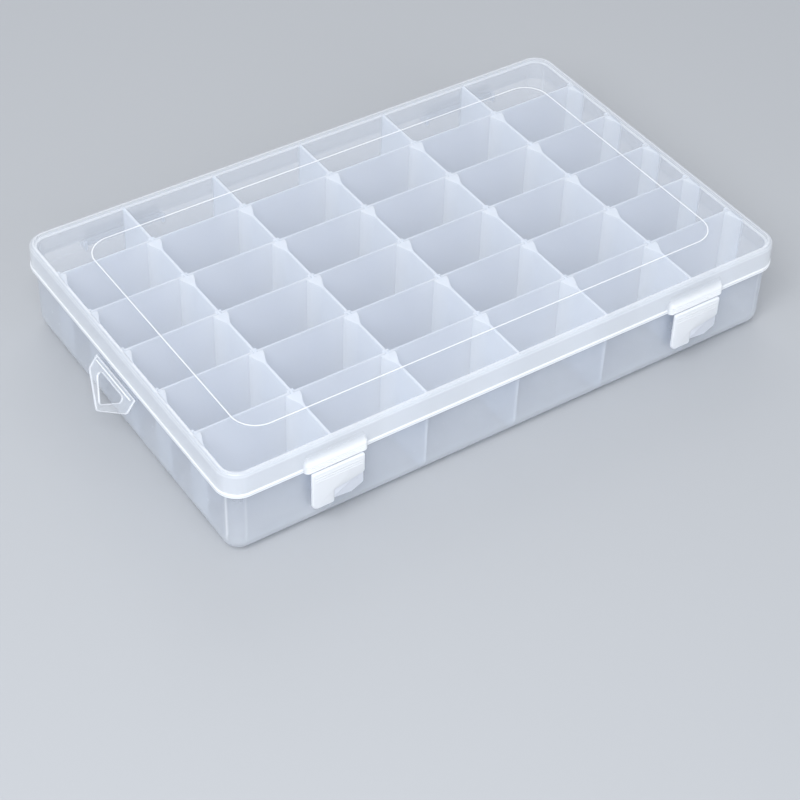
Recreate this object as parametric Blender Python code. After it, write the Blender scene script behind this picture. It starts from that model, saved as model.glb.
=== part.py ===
"""Compartment organizer box: a tray with six columns, thirty loose dividers, a hinged lid with
two hanging latches, and a folding hang tab. Metres, +Z up, latches towards -Y, hang tab at -X.
The origin is the centre of the tray's underside."""

from math import cos, pi, radians, sin

import bmesh
import bpy
from mathutils import Vector

MM = 0.001

# Compartments
COLUMNS = 6
ROWS = 6
CELL_LENGTH = 43.6 * MM
ROW_CLEAR = 27.4 * MM
FRONT_ROW_CLEAR = 28.0 * MM
BACK_ROW_CLEAR = 25.0 * MM
FIXED_WALL = 1.2 * MM
DIVIDER_THICKNESS = 1.0 * MM

# Tray shell
TRAY_HEIGHT = 43.5 * MM
TRAY_WALL = 1.3 * MM
TRAY_FLOOR = 1.3 * MM
FOOT_RADIUS = 7.0 * MM
CORNER_STEPS = 6
FOOT_STEPS = 4

# Guides that hold each divider's ends
SLOT_GAP = 0.3 * MM
FIN_REACH = 2.6 * MM
FIN_LENGTH = 8.5 * MM
FIN_BULGE_SHARES = (0.6, 0.45)
RIB_REACH = 1.0 * MM
RIB_THICKNESS = 0.9 * MM
DIVIDER_CORNER_STEPS = 5

# Lid
SEAT_GAP = 0.3 * MM
LID_PLATE = 1.2 * MM
LID_EDGE = 2.0 * MM
LID_CORNER = 10.0 * MM
LID_GAP = 0.7 * MM
SKIRT_DEPTH = 12.0 * MM
SKIRT_WALL = 1.0 * MM
HEM_WALL = 1.7 * MM
HEM_STEP = 0.4 * MM
HEM_HEIGHT = 1.8 * MM
BEAD_INSET = 19.0 * MM
BEAD_WIDTH = 1.4 * MM
BEAD_RISE = 0.4 * MM
BEAD_CORNER = 12.0 * MM
EDGE_STEPS = 3

# Back hinges: pins on the tray, open clips on the lid
HINGE_DROP = 2.8 * MM
HINGE_WIDTH = 39.6 * MM
PIN_RADIUS = 1.2 * MM
PIN_GAP = 0.3 * MM
CLIP_WALL = 1.1 * MM
CLIP_CLEAR = 0.9 * MM
CLIP_MOUTH = 70
CLIP_WEB_TOP = 3.5 * MM
CLIP_WEB_WALL = 1.8 * MM
LUG_WALL = 1.5 * MM
LUG_RADIUS = 2.2 * MM
END_GAP = 0.3 * MM
ROUND_STEPS = 12

# Latches
LATCH_WIDTH = 24.2 * MM
LATCH_WALL = 1.8 * MM
LATCH_GAP = 0.3 * MM
LATCH_SHOULDER = 8.0 * MM
LATCH_BODY_DROPS = (11.6 * MM, 9.0 * MM)
FINGER_WIDTH = 10.2 * MM
FINGER_DROP = 18.4 * MM
FINGER_ROUND = 3.0 * MM
LIP_DROPS = (16.4 * MM, 17.3 * MM, 14.6 * MM)
LIP_TURN_SHARE = 0.58
LIP_WALL = 1.0 * MM
LIP_RECESS = 0.6 * MM
BOSS_WIDTH = 29.0 * MM
BOSS_REACH = 2.4 * MM
BOSS_HEIGHT = 6.6 * MM
BOSS_DROP = 0.2 * MM
BOSS_BEND = 1.8 * MM
LATCH_OUTSET = 0.2 * MM
CATCH_WIDTH = 20.0 * MM
CATCH_REACH = 1.8 * MM
CATCH_TIP = 0.6 * MM
CATCH_DROP = 9.2 * MM
CATCH_GAP = 0.3 * MM
HOOK_GRIP = 0.6 * MM
HOOK_TIP = 0.8 * MM

# Hang tab
TAB_WIDTH = 33.3 * MM
TAB_SIDE = 7.0 * MM
TAB_REACH = 17.2 * MM
TAB_WALL = 1.2 * MM
TAB_ROUND = 2.0 * MM
TAB_CENTRE = 4.0 * MM
TAB_OUTSET = 1.8 * MM
TAB_BELOW_HEM = 4.4 * MM
TAB_DROOP = 54
TAB_HOLE_WIDTH = 25.0 * MM
TAB_HOLE_START = 3.7 * MM
TAB_HOLE_REACH = 10.0 * MM
TAB_HOLE_ROUND = 1.6 * MM
SHELF_WALL = 1.2 * MM
SHELF_GAP = 0.3 * MM
TAB_ARC_STEPS = 4

# Working values
OVERRUN = 2.0 * MM
LEAST_RADIUS = 0.2 * MM
QUARTER = 90
TURN = 360
SHARP_ANGLE = 32

# The columns whose walls carry the hinges and latches, counted from the left
FITTING_WALLS = (1, COLUMNS - 1)

# Sizes that follow from those above
COLUMN_PITCH = CELL_LENGTH + FIXED_WALL
ROW_PITCH = ROW_CLEAR + DIVIDER_THICKNESS
INNER_X = (COLUMNS * CELL_LENGTH + (COLUMNS - 1) * FIXED_WALL) / 2
INNER_Y = (FRONT_ROW_CLEAR + BACK_ROW_CLEAR + (ROWS - 2) * ROW_CLEAR + (ROWS - 1) * DIVIDER_THICKNESS) / 2
OUTER_X = INNER_X + TRAY_WALL
OUTER_Y = INNER_Y + TRAY_WALL
LID_X = OUTER_X + LID_GAP + HEM_WALL
LID_Y = OUTER_Y + LID_GAP + HEM_WALL
TRAY_CORNER = LID_CORNER - LID_GAP - HEM_WALL
LID_UNDER = TRAY_HEIGHT + SEAT_GAP
LID_TOP = LID_UNDER + LID_PLATE
HEM_BOTTOM = LID_TOP - SKIRT_DEPTH
HEM_TOP = HEM_BOTTOM + HEM_HEIGHT
SKIRT_Y = LID_Y - HEM_STEP

CLIP_BORE = PIN_RADIUS + PIN_GAP
CLIP_RADIUS = CLIP_BORE + CLIP_WALL
HINGE_Y = OUTER_Y + CLIP_CLEAR + CLIP_RADIUS
HINGE_Z = HEM_BOTTOM - HINGE_DROP

BOSS_FACE = SKIRT_Y + BOSS_REACH
BOSS_BOTTOM = HEM_BOTTOM - BOSS_DROP
LATCH_Y = BOSS_FACE + LATCH_OUTSET
LATCH_Z = BOSS_BOTTOM - LATCH_GAP - LATCH_WALL / 2
CATCH_Z = LATCH_Z - CATCH_DROP
HOOK_REACH = LATCH_Y - OUTER_Y - CATCH_REACH + HOOK_GRIP

TAB_X = OUTER_X + TAB_OUTSET
TAB_Z = HEM_BOTTOM - TAB_BELOW_HEM


def arc(centre_u, centre_v, radius, start, stop, steps):
    """Points on an arc from start to stop in degrees, both ends included."""
    points = []
    for step in range(steps + 1):
        angle = radians(start + (stop - start) * step / steps)
        points.append((centre_u + radius * cos(angle), centre_v + radius * sin(angle)))
    return points


def rounded_rectangle(half_x, half_y, radius, height):
    """A level ring of points, anticlockwise from the +X side's back end."""
    radius = max(radius, LEAST_RADIUS)
    ring = []
    for number, (side_x, side_y) in enumerate(((1, 1), (-1, 1), (-1, -1), (1, -1))):
        start = number * QUARTER
        centre_x = side_x * (half_x - radius)
        centre_y = side_y * (half_y - radius)
        for x, y in arc(centre_x, centre_y, radius, start, start + QUARTER, CORNER_STEPS):
            ring.append((x, y, height))
    return ring


def loft(rings):
    """A closed mesh through level rings with equal numbers of points, its first and last rings filled."""
    work = bmesh.new()
    loops = [[work.verts.new(point) for point in ring] for ring in rings]
    for lower, upper in zip(loops, loops[1:]):
        for number in range(len(lower)):
            following = (number + 1) % len(lower)
            work.faces.new((lower[number], lower[following], upper[following], upper[number]))
    work.faces.new(loops[0])
    work.faces.new(loops[-1])
    return finish(work)


def prisms(bodies):
    """One mesh of separate prisms. Each is an outline, the axis it runs along, and its two ends there."""
    work = bmesh.new()
    for outline, axis, low, high in bodies:
        ends = []
        for place in (low, high):
            end = []
            for u, v in outline:
                point = {"X": (place, u, v), "Y": (u, place, v), "Z": (u, v, place)}[axis]
                end.append(work.verts.new(point))
            ends.append(end)
            work.faces.new(end)
        for number in range(len(outline)):
            following = (number + 1) % len(outline)
            work.faces.new((ends[0][number], ends[0][following], ends[1][following], ends[1][number]))
    return finish(work)


def finish(work):
    """The mesh of a bmesh, with its faces turned outward."""
    bmesh.ops.recalc_face_normals(work, faces=work.faces[:])
    mesh = bpy.data.meshes.new("shape")
    work.to_mesh(mesh)
    work.free()
    return mesh


def combine(mesh, other, operation):
    """The exact union, difference or intersection of two meshes, as a new mesh."""
    base = bpy.data.objects.new("base", mesh)
    tool = bpy.data.objects.new("tool", other)
    for item in (base, tool):
        bpy.context.scene.collection.objects.link(item)
    modifier = base.modifiers.new("combine", "BOOLEAN")
    modifier.operation = operation
    modifier.object = tool
    modifier.solver = "EXACT"
    graph = bpy.context.evaluated_depsgraph_get()
    result = bpy.data.meshes.new_from_object(base.evaluated_get(graph))
    for item in (base, tool):
        bpy.data.objects.remove(item, do_unlink=True)
    return result


def plastic(name, colour, roughness, see_through):
    """A milky, partly see-through plastic."""
    material = bpy.data.materials.new(name)
    material.use_nodes = True
    shader = material.node_tree.nodes["Principled BSDF"]
    shader.inputs["Base Color"].default_value = (*colour, 1)
    shader.inputs["Roughness"].default_value = roughness
    shader.inputs["Metallic"].default_value = 0
    shader.inputs["Alpha"].default_value = 1 - see_through
    material.surface_render_method = "BLENDED"
    return material


def place(name, mesh, material, pivot=(0, 0, 0), parent=None):
    """A named object whose origin is at pivot, from a mesh in world coordinates."""
    mesh.name = name
    for vertex in mesh.vertices:
        vertex.co -= Vector(pivot)
    return put(name, mesh, material, pivot, parent)


def put(name, mesh, material, pivot, parent=None):
    """A named object at pivot, from a mesh whose origin is already there."""
    mesh.shade_smooth()
    mesh.set_sharp_from_angle(angle=radians(SHARP_ANGLE))
    mesh.materials.clear()
    mesh.materials.append(material)
    item = bpy.data.objects.new(name, mesh)
    bpy.context.scene.collection.objects.link(item)
    item.location = pivot
    if parent is not None:
        item.parent = parent
        item.location = Vector(pivot) - parent.location
    return item


def wall_place(number):
    """The middle of fixed wall number, counted from 1 at the left."""
    return number * COLUMN_PITCH - FIXED_WALL / 2 - INNER_X


def row_place(number):
    """The middle plane of divider row number, counted from 1 at the front."""
    return FRONT_ROW_CLEAR + DIVIDER_THICKNESS / 2 + (number - 1) * ROW_PITCH - INNER_Y


def guide_line(face, outward):
    """The plan line of one wall face from front to back, with a swelling fin in front of each divider
    and a small rib behind it."""
    points = []
    bulge_share, length_share = FIN_BULGE_SHARES
    for row in range(1, ROWS):
        front = row_place(row) - DIVIDER_THICKNESS / 2 - SLOT_GAP
        back = row_place(row) + DIVIDER_THICKNESS / 2 + SLOT_GAP
        points.append((face, front - FIN_LENGTH))
        points.append((face + outward * FIN_REACH * bulge_share, front - FIN_LENGTH * length_share))
        points.append((face + outward * FIN_REACH, front))
        points.append((face, front))
        points.append((face, back))
        points.append((face + outward * RIB_REACH, back))
        points.append((face + outward * RIB_REACH, back + RIB_THICKNESS))
        points.append((face, back + RIB_THICKNESS))
    return points


def wall_bank():
    """The fixed walls and the guides on the left and right tray walls, as separate bodies."""
    bodies = []
    bottom = TRAY_FLOOR / 2
    reach = INNER_Y + OVERRUN
    for number in range(1, COLUMNS):
        middle = wall_place(number)
        right = middle + FIXED_WALL / 2
        left = middle - FIXED_WALL / 2
        outline = [(right, -reach), *guide_line(right, 1), (right, reach)]
        outline += [(left, reach), *reversed(guide_line(left, -1)), (left, -reach)]
        bodies.append((outline, "Z", bottom, TRAY_HEIGHT))
    for outward in (1, -1):
        face = -outward * INNER_X
        buried = face - outward * TRAY_WALL / 2
        line = guide_line(face, outward)
        outline = [(buried, line[0][1]), *line, (buried, line[-1][1])]
        bodies.append((outline, "Z", bottom, TRAY_HEIGHT))
    return prisms(bodies)


def tray_profile(inset, floor):
    """Inset and height from the floor's edge up to where the foot's rounding ends."""
    radius = max(FOOT_RADIUS - inset, LEAST_RADIUS)
    points = []
    for step in range(FOOT_STEPS + 1):
        angle = radians(QUARTER * step / FOOT_STEPS)
        points.append((inset + radius * (1 - sin(angle)), floor + radius * (1 - cos(angle))))
    return points


def tray_ring(inset, height):
    return rounded_rectangle(OUTER_X - inset, OUTER_Y - inset, TRAY_CORNER - inset, height)


def tray_fittings():
    """Hinge lugs and pins at the back, catch ribs at the front, and the shelf of the hang tab."""
    bodies = []
    buried = OUTER_Y - TRAY_WALL / 2
    lug = [(buried, HINGE_Z - LUG_RADIUS)]
    lug += arc(HINGE_Y, HINGE_Z, LUG_RADIUS, -QUARTER, QUARTER, ROUND_STEPS // 2)
    lug.append((buried, HINGE_Z + LUG_RADIUS))
    pin = arc(HINGE_Y, HINGE_Z, PIN_RADIUS, 0, TURN, ROUND_STEPS)[:-1]
    catch = [
        (-buried, CATCH_Z - CATCH_REACH),
        (-OUTER_Y, CATCH_Z - CATCH_REACH),
        (-OUTER_Y - CATCH_REACH, CATCH_Z),
        (-OUTER_Y - CATCH_REACH, CATCH_Z + CATCH_TIP),
        (-OUTER_Y, CATCH_Z + CATCH_TIP + CATCH_REACH),
        (-buried, CATCH_Z + CATCH_TIP + CATCH_REACH),
    ]
    for number in FITTING_WALLS:
        middle = wall_place(number)
        half = HINGE_WIDTH / 2
        bodies.append((lug, "X", middle - half, middle - half + LUG_WALL))
        bodies.append((lug, "X", middle + half - LUG_WALL, middle + half))
        bodies.append((catch, "X", middle - CATCH_WIDTH / 2, middle + CATCH_WIDTH / 2))
    mesh = prisms(bodies)
    pins = []
    for number in FITTING_WALLS:
        middle = wall_place(number)
        half = HINGE_WIDTH / 2 - LUG_WALL / 2
        pins.append((pin, "X", middle - half, middle + half))
    shelf_tip = -TAB_X + TAB_WALL / 2 + SHELF_GAP
    shelf_root = -OUTER_X + TRAY_WALL / 2
    shelf = [
        (shelf_root, TAB_Z - SHELF_WALL),
        (shelf_tip, TAB_Z - SHELF_WALL / 2),
        (shelf_tip, TAB_Z + SHELF_WALL / 2),
        (shelf_root, TAB_Z + SHELF_WALL / 2),
    ]
    pins.append((shelf, "Y", TAB_CENTRE - TAB_WIDTH / 2, TAB_CENTRE + TAB_WIDTH / 2))
    return combine(mesh, prisms(pins), "UNION")


def tray():
    """The shell, the fixed walls trimmed to it, and the outside fittings, as one moulding."""
    outside = tray_profile(0, 0) + [(0, TRAY_HEIGHT)]
    inside = tray_profile(TRAY_WALL, TRAY_FLOOR) + [(TRAY_WALL, TRAY_HEIGHT)]
    shell = loft([tray_ring(*point) for point in outside + inside[::-1]])
    trim = tray_profile(TRAY_WALL / 2, TRAY_FLOOR / 2) + [(TRAY_WALL / 2, TRAY_HEIGHT + OVERRUN)]
    space = loft([tray_ring(*point) for point in trim])
    walls = combine(wall_bank(), space, "INTERSECT")
    return combine(combine(shell, walls, "UNION"), tray_fittings(), "UNION")


def divider():
    """One loose divider about its own middle at the level of its foot: a plate with rounded lower corners."""
    half = CELL_LENGTH / 2 - SLOT_GAP
    height = TRAY_HEIGHT - TRAY_FLOOR - SLOT_GAP
    radius = FOOT_RADIUS - TRAY_WALL - SLOT_GAP
    outline = [(half, height), (-half, height)]
    outline += arc(radius - half, radius, radius, 2 * QUARTER, 3 * QUARTER, DIVIDER_CORNER_STEPS)
    outline += arc(half - radius, radius, radius, 3 * QUARTER, 4 * QUARTER, DIVIDER_CORNER_STEPS)
    return prisms([(outline, "Y", -DIVIDER_THICKNESS / 2, DIVIDER_THICKNESS / 2)])


def lid_ring(inset, height):
    return rounded_rectangle(LID_X - inset, LID_Y - inset, LID_CORNER - inset, height)


def bead_ring(offset, height):
    inset = BEAD_INSET + offset
    return rounded_rectangle(LID_X - inset, LID_Y - inset, BEAD_CORNER - offset, height)


def lid_fittings():
    """The latch bosses on the front skirt and the hinge clips on the back skirt, as separate bodies."""
    bodies = []
    skirt_inside = SKIRT_Y - SKIRT_WALL / 2
    boss_top = BOSS_BOTTOM + BOSS_HEIGHT
    boss = [(-skirt_inside, boss_top), (-BOSS_FACE + BOSS_BEND, boss_top)]
    boss += arc(-BOSS_FACE + BOSS_BEND, boss_top - BOSS_BEND, BOSS_BEND, QUARTER, 2 * QUARTER, EDGE_STEPS)[1:]
    boss += [
        (-BOSS_FACE, BOSS_BOTTOM),
        (-LID_Y - BOSS_DROP, BOSS_BOTTOM),
        (-LID_Y + HEM_STEP, HEM_BOTTOM + BOSS_DROP),
        (-skirt_inside, HEM_BOTTOM + BOSS_DROP),
    ]
    start = -QUARTER + CLIP_MOUTH / 2
    stop = 3 * QUARTER - CLIP_MOUTH / 2
    web_top = HEM_BOTTOM + CLIP_WEB_TOP
    clip = arc(HINGE_Y, HINGE_Z, CLIP_RADIUS, start, QUARTER / 2, ROUND_STEPS // 2)
    clip += [
        (SKIRT_Y + CLIP_WEB_WALL, HEM_BOTTOM),
        (SKIRT_Y + CLIP_WEB_WALL, web_top),
        (skirt_inside, web_top + CLIP_WEB_WALL / 2),
        (skirt_inside, HEM_BOTTOM + BOSS_DROP),
    ]
    clip += arc(HINGE_Y, HINGE_Z, CLIP_RADIUS, QUARTER * 3 / 2, stop, ROUND_STEPS // 2)
    clip += arc(HINGE_Y, HINGE_Z, CLIP_BORE, stop, start, ROUND_STEPS)
    clip_half = HINGE_WIDTH / 2 - LUG_WALL - END_GAP
    for number in FITTING_WALLS:
        middle = wall_place(number)
        bodies.append((boss, "X", middle - BOSS_WIDTH / 2, middle + BOSS_WIDTH / 2))
        bodies.append((clip, "X", middle - clip_half, middle + clip_half))
    return prisms(bodies)


def lid():
    """The plate with its raised bead, rounded edge, skirt and hem, with the bosses and clips."""
    rings = [
        bead_ring(BEAD_WIDTH, LID_TOP),
        bead_ring(BEAD_WIDTH - BEAD_RISE, LID_TOP + BEAD_RISE),
        bead_ring(BEAD_RISE, LID_TOP + BEAD_RISE),
        bead_ring(0, LID_TOP),
    ]
    for step in range(EDGE_STEPS + 1):
        angle = radians(QUARTER * step / EDGE_STEPS)
        inset = HEM_STEP + LID_EDGE * (1 - sin(angle))
        rings.append(lid_ring(inset, LID_TOP - LID_EDGE * (1 - cos(angle))))
    inner = HEM_STEP + SKIRT_WALL
    bend = max(LID_EDGE - SKIRT_WALL, LEAST_RADIUS)
    rings += [
        lid_ring(HEM_STEP, HEM_TOP),
        lid_ring(0, HEM_TOP - HEM_STEP),
        lid_ring(0, HEM_BOTTOM),
        lid_ring(HEM_WALL, HEM_BOTTOM),
        lid_ring(HEM_WALL, HEM_TOP - HEM_STEP),
        lid_ring(inner, HEM_TOP),
        lid_ring(inner, LID_UNDER - bend),
        lid_ring(inner + bend, LID_UNDER),
    ]
    return combine(loft(rings), lid_fittings(), "UNION")


def latch():
    """One latch about the middle of its hinge line: a thick plate whose lower edge slants, a finger piece
    at its left, a thin lip below the slant, and the sloped hook behind."""
    half = LATCH_WIDTH / 2
    face = LATCH_WALL / 2
    shoulder = arc(0, 0, face, 0, 2 * QUARTER, ROUND_STEPS // 2)
    shoulder += [(-face, -LATCH_SHOULDER), (face, -LATCH_SHOULDER)]
    split = FINGER_WIDTH - half
    top = face - LATCH_SHOULDER
    body_left, body_right = LATCH_BODY_DROPS
    body = [(half, top), (-half, top)]
    body += arc(FINGER_ROUND - half, FINGER_ROUND - FINGER_DROP, FINGER_ROUND, 2 * QUARTER, 3 * QUARTER, EDGE_STEPS)
    body += [(split, -FINGER_DROP), (split, -body_left), (half, -body_right)]
    lip_left, lip_middle, lip_right = LIP_DROPS
    lip = [
        (split - face, top),
        (split - face, -lip_left),
        (split + (half - split) * LIP_TURN_SHARE, -lip_middle),
        (half, -lip_right),
        (half, top),
    ]
    lip_face = LIP_RECESS - face
    hook_top = -CATCH_DROP - HOOK_GRIP - CATCH_GAP / cos(radians(QUARTER / 2))
    hook = [
        (0, hook_top + HOOK_REACH),
        (HOOK_REACH, hook_top),
        (HOOK_REACH, hook_top - HOOK_TIP),
        (0, hook_top - HOOK_TIP - HOOK_REACH),
    ]
    mesh = prisms([(shoulder, "X", -half, half)])
    for piece in (
        (body, "Y", -face, face),
        (lip, "Y", lip_face, lip_face + LIP_WALL),
        (hook, "X", -CATCH_WIDTH / 2, CATCH_WIDTH / 2),
    ):
        mesh = combine(mesh, prisms([piece]), "UNION")
    return mesh


def rounded_outline(corners, radius, steps):
    """A polygon with each convex corner rounded to radius, or kept sharp where radius is 0."""
    points = []
    for number, corner in enumerate(corners):
        here = Vector(corner[:2])
        bend = radius * corner[2]
        if bend == 0:
            points.append(tuple(here))
            continue
        before = (Vector(corners[number - 1][:2]) - here).normalized()
        after = (Vector(corners[(number + 1) % len(corners)][:2]) - here).normalized()
        half_angle = before.angle(after) / 2
        centre = here + (before + after).normalized() * bend / sin(half_angle)
        first = here + before * bend * cos(half_angle) / sin(half_angle) - centre
        sweep = before.cross(after)
        total = (pi - 2 * half_angle) * (1 if sweep < 0 else -1)
        for step in range(steps + 1):
            angle = total * step / steps
            turned = Vector(
                (first.x * cos(angle) - first.y * sin(angle), first.x * sin(angle) + first.y * cos(angle))
            )
            points.append(tuple(centre + turned))
    return points


def hang_tab():
    """The five-sided tab lying flat, towards -X from its hinge line, with its rounded three-sided hole."""
    half = TAB_WIDTH / 2
    plate = rounded_outline(
        ((0, half, 0), (-TAB_SIDE, half, 1), (-TAB_REACH, 0, 1), (-TAB_SIDE, -half, 1), (0, -half, 0)),
        TAB_ROUND,
        TAB_ARC_STEPS,
    )
    hole_half = TAB_HOLE_WIDTH / 2
    hole = rounded_outline(
        (
            (-TAB_HOLE_START, hole_half, 1),
            (-TAB_HOLE_START - TAB_HOLE_REACH, 0, 1),
            (-TAB_HOLE_START, -hole_half, 1),
        ),
        TAB_HOLE_ROUND,
        TAB_ARC_STEPS,
    )
    mesh = prisms([(plate, "Z", -TAB_WALL / 2, TAB_WALL / 2)])
    return combine(mesh, prisms([(hole, "Z", -TAB_WALL, TAB_WALL)]), "DIFFERENCE")


def main():
    for item in list(bpy.data.objects):
        bpy.data.objects.remove(item, do_unlink=True)
    clear = plastic("clear_shell", (0.86, 0.89, 0.93), 0.3, 0.6)
    milky = plastic("milky_divider", (0.88, 0.90, 0.93), 0.45, 0.4)
    place("base_tray", tray(), clear)
    lid_item = place("lid", lid(), clear, (0, HINGE_Y, HINGE_Z))
    latch_mesh = latch()
    for name, number in zip(("latch_left", "latch_right"), FITTING_WALLS):
        put(name, latch_mesh, milky, (wall_place(number), -LATCH_Y, LATCH_Z), lid_item)
    tab = put("hang_tab", hang_tab(), clear, (-TAB_X, TAB_CENTRE, TAB_Z))
    tab.rotation_euler = (0, -radians(TAB_DROOP), 0)
    divider_mesh = divider()
    foot = TRAY_FLOOR + SLOT_GAP
    for row in range(1, ROWS):
        for column in range(1, COLUMNS + 1):
            middle = (column - 1) * COLUMN_PITCH + CELL_LENGTH / 2 - INNER_X
            put(f"divider_row{row}_col{column}", divider_mesh, milky, (middle, row_place(row), foot))


main()
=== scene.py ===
"""Compartment organizer box: smooth surfaces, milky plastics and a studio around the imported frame.
Metres, +Z up, latches towards -Y, hang tab at -X. The origin is the centre of the tray's underside."""

from math import cos, pi, radians, sin

import bpy
import numpy as np
from bpy.props import FloatProperty, FloatVectorProperty, IntProperty, PointerProperty
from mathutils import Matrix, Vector


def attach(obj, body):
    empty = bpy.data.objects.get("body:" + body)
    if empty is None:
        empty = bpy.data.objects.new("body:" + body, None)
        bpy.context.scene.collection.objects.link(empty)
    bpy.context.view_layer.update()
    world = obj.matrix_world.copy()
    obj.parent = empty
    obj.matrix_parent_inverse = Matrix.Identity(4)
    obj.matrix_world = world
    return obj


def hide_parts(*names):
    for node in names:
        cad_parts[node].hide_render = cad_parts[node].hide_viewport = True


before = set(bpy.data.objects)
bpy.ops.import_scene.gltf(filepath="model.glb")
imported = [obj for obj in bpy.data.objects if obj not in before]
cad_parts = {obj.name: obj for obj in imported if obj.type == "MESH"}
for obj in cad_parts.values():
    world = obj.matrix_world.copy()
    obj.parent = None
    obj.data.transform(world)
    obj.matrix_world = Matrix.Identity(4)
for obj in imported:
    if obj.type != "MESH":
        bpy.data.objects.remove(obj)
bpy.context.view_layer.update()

bl_info = {
    "name": "Compartment organizer box",
    "version": (1, 0, 0),
    "blender": (4, 5, 0),
    "location": "3D View > Sidebar > Organizer Box",
    "description": "Builds a see-through organizer box with a hinged lid, latches, dividers and a hang tab",
    "category": "Add Mesh",
}

MM = 0.001
LEAST = 0.1 * MM
QUARTER = pi / 2
SMOOTH_ANGLE = radians(35)
ARC_STEPS = 8
FIN_POINTS = 13
TAB_POINTS = 128
FLOOR_SIDES = 64
GRAZING_LIMIT = 1.06
# White that the density mask blends in: partly thick milky plastic, partly painted highlight and painted light
MILKY_AND_HIGHLIGHT_WHITE = (0.94, 0.97, 1.0, 1)


def size(name, description, value_mm):
    """A length that the user can set, given here in millimetres."""
    return FloatProperty(
        name=name, description=description, default=value_mm * MM, min=0, unit="LENGTH", precision=5
    )


def tint(name, description, value):
    """A colour that the user can set."""
    return FloatVectorProperty(
        name=name, description=description, default=value, size=3, min=0, max=1, subtype="COLOR"
    )


def share(name, description, value):
    """A share from 0 to 1 that the user can set."""
    return FloatProperty(name=name, description=description, default=value, min=0, max=1, subtype="FACTOR")


class TraySizes(bpy.types.PropertyGroup):
    """Sizes of the tray, its guides and the dividers"""
    half_length: size("Half length", "From the middle to the outer face at the short sides", 135.1)
    half_depth: size("Half depth", "From the middle to the outer face at the long sides", 85.1)
    height: size("Height", "From the underside to the walls' top edges", 43.5)
    wall: size("Wall", "Thickness of the outer walls", 1.3)
    floor: size("Floor", "Thickness of the floor", 1.3)
    corner: size("Corner", "Radius of the upright corners", 7.6)
    foot: size("Foot", "Radius of the rounding round the underside", 7.0)
    fixed_wall: size("Moulded wall", "Thickness of the moulded inner walls", 1.2)
    cell_length: size("Cell length", "Clear length of a compartment between moulded walls", 43.6)
    front_row: size("Front row", "Clear depth of the front row of compartments", 28.0)
    row_pitch: size("Row pitch", "From one divider to the next", 28.4)
    columns: IntProperty(name="Columns", description="Compartments from left to right", default=6, min=1)
    rows: IntProperty(name="Rows", description="Compartments from front to back", default=6, min=1)
    fin_reach: size("Fin reach", "How far a guide fin stands off its wall", 2.6)
    fin_length: size("Fin length", "How far a guide fin runs forward from its slot", 8.5)
    rib_reach: size("Rib reach", "How far the rib behind a slot stands off its wall", 1.0)
    rib_length: size("Rib length", "Thickness of the rib behind a slot", 0.9)
    slot_gap: size("Slot gap", "Clearance between a divider and its guides", 0.3)
    divider: size("Divider", "Thickness of a divider", 1.0)
    edge: size("Edge", "Rounding of the thin plastic edges", 0.3)


class LidSizes(bpy.types.PropertyGroup):
    """Sizes of the lid and its latch bosses"""
    half_length: size("Half length", "From the middle to the hem's outer face at the short sides", 137.5)
    half_depth: size("Half depth", "From the middle to the hem's outer face at the long sides", 87.5)
    top: size("Top", "Height of the lid's flat top", 45.0)
    plate: size("Plate", "Thickness of the lid's plate", 1.2)
    corner: size("Corner", "Radius of the upright corners", 10.0)
    rounding: size("Rounding", "Radius of the rounding round the top", 2.0)
    skirt: size("Skirt", "Thickness of the skirt", 1.0)
    skirt_depth: size("Skirt depth", "From the lid's top to the hem's lower edge", 12.0)
    hem: size("Hem", "Thickness of the hem", 1.7)
    hem_step: size("Hem step", "How far the hem stands off the skirt", 0.4)
    hem_height: size("Hem height", "Height of the hem", 1.8)
    bead_inset: size("Bead inset", "From the hem's outer face to the raised bead", 19.0)
    bead_width: size("Bead width", "Width of the raised bead", 1.4)
    bead_rise: size("Bead rise", "Height of the raised bead", 0.4)
    bead_corner: size("Bead corner", "Radius of the bead's corners", 12.0)
    boss_width: size("Boss width", "Width of a latch boss", 29.0)
    boss_reach: size("Boss reach", "How far a latch boss stands off the skirt", 2.4)
    boss_height: size("Boss height", "Height of a latch boss", 6.6)
    boss_drop: size("Boss drop", "How far a latch boss reaches below the hem", 0.2)


class HingeSizes(bpy.types.PropertyGroup):
    """Sizes of the two hinges behind the tray"""
    axis_y: size("Axis depth", "From the middle to the hinge's axis", 88.6)
    axis_z: size("Axis height", "From the underside to the hinge's axis", 30.2)
    width: size("Width", "Overall width of one hinge", 39.6)
    pin: size("Pin", "Radius of the pin", 1.2)
    bore: size("Bore", "Inner radius of the clip", 1.5)
    clip: size("Clip", "Outer radius of the clip", 2.6)
    lug: size("Lug", "Radius of a lug", 2.2)
    lug_width: size("Lug width", "Width of a lug", 1.5)
    end_gap: size("End gap", "Clearance between clip and lug", 0.3)
    web: size("Web", "How far the clip's web stands off the skirt", 1.8)
    web_top: size("Web top", "How far the clip's web climbs the skirt", 3.5)


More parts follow.
